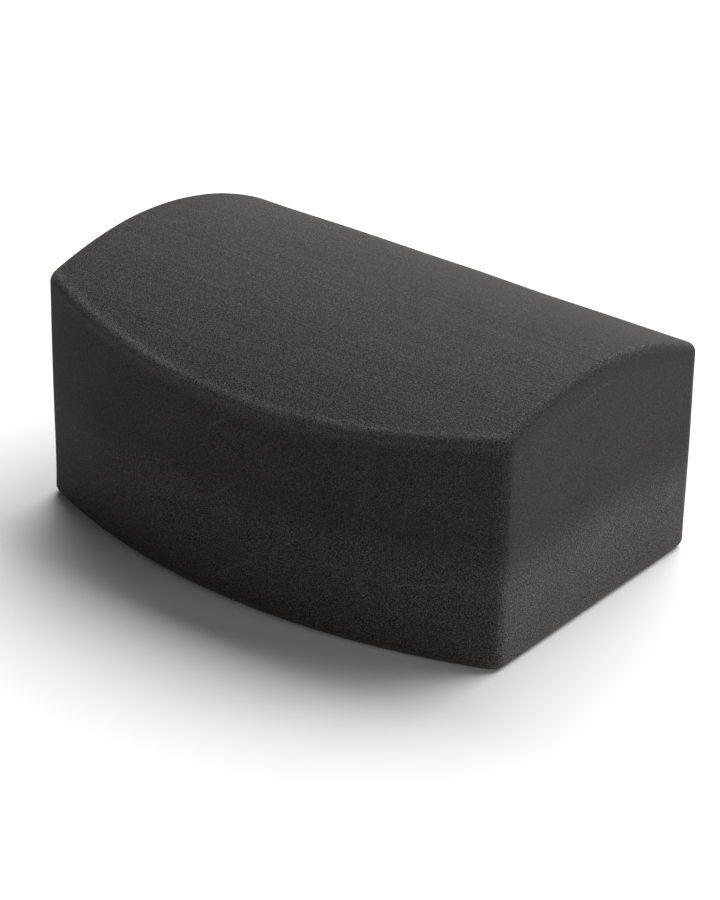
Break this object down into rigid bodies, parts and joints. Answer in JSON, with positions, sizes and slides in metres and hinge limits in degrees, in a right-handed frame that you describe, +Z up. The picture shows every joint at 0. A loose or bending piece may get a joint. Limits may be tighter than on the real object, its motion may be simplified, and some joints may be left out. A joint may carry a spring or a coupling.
{
  "type": "foam block",
  "caption": "Solid closed-cell foam support block with an arched top, a bowed long front face, a flat back and a flat underside.",
  "frame": {"origin": "middle of the footprint, on the flat underside", "axes": "+X along the length, +Y towards the flat back, +Z up"},
  "size_m": [0.22, 0.15, 0.105],
  "materials": {
    "charcoal_foam": "fine closed-cell foam, matte with a faint sheen, charcoal"
  },
  "bodies": {
    "root": {"foam_block": "charcoal_foam"}
  },
  "joints": []
}
